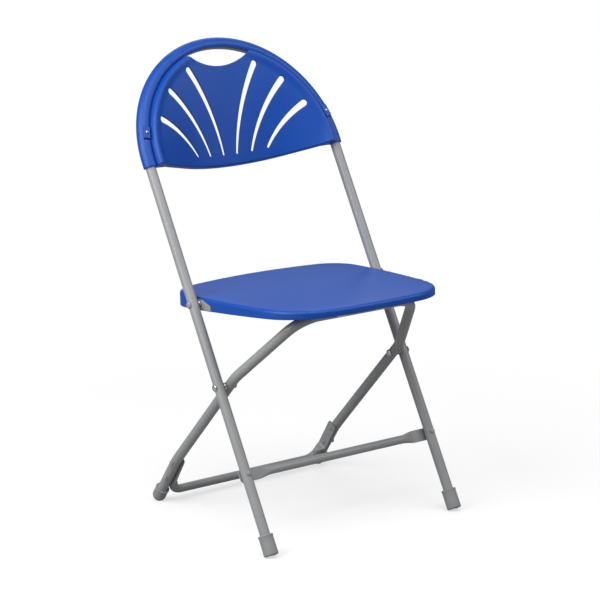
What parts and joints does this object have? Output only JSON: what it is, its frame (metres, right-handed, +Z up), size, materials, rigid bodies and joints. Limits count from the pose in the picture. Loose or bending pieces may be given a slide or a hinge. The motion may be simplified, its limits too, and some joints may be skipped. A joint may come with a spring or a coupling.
{
  "type": "folding chair",
  "caption": "Folding chair: steel tube frame, moulded plastic seat and dished fan back with slots and a hand hole; the seat swings up and the rear legs fold flat.",
  "frame": {"origin": "on the floor, at the centre of the open chair's bounding box seen from above", "axes": "+Z up, the sitter faces -Y, +X to the sitter's left"},
  "size_m": [0.4584, 0.5273, 0.8585],
  "materials": {
    "moulding": "satin moulded blue",
    "tube": "grey powder coat",
    "cap": "grey moulded plastic",
    "bush": "dark nylon",
    "fastener": "zinc plated"
  },
  "bodies": {
    "frame": {"front_frame_tube": "tube", "backrest": "moulding", "backrest_screws": "fastener", "front_crossbar": "tube", "front_crossbar_rivets": "fastener", "foot_cap_front_left": "cap", "foot_cap_front_right": "cap", "leg_pivot_rivet_left": "fastener", "leg_pivot_rivet_right": "fastener", "leg_pivot_spacer_left": "fastener", "leg_pivot_spacer_right": "fastener", "seat_pivot_rivet_left": "fastener", "seat_pivot_rivet_right": "fastener", "seat_pivot_washer_left": "bush", "seat_pivot_washer_right": "bush"},
    "rear_legs": {"rear_leg_frame": "tube", "rear_crossbar": "tube", "rear_crossbar_rivets": "fastener", "foot_cap_rear_left": "cap", "foot_cap_rear_right": "cap"},
    "seat": {"seat": "moulding", "hinge_bracket_left": "tube", "hinge_bracket_right": "tube", "hinge_bracket_screws": "fastener", "saddle_clip_left": "fastener", "saddle_clip_right": "fastener", "saddle_clip_screws": "fastener"}
  },
  "joints": [
    {"name": "seat_fold", "type": "hinge", "parent": "frame", "child": "seat", "pos_m": [0, 0.01016, 0.41665], "axis": [-1, 0, 0], "range_deg": [0, 108]},
    {"name": "rear_leg_fold", "type": "hinge", "parent": "frame", "child": "rear_legs", "pos_m": [0, -0.06828, 0.27835], "axis": [-1, 0, 0], "range_deg": [0, 61.5]}
  ],
  "couplings": [
    {"joint": "rear_leg_fold", "follows": "seat_fold", "ratio": 0.56944}
  ]
}
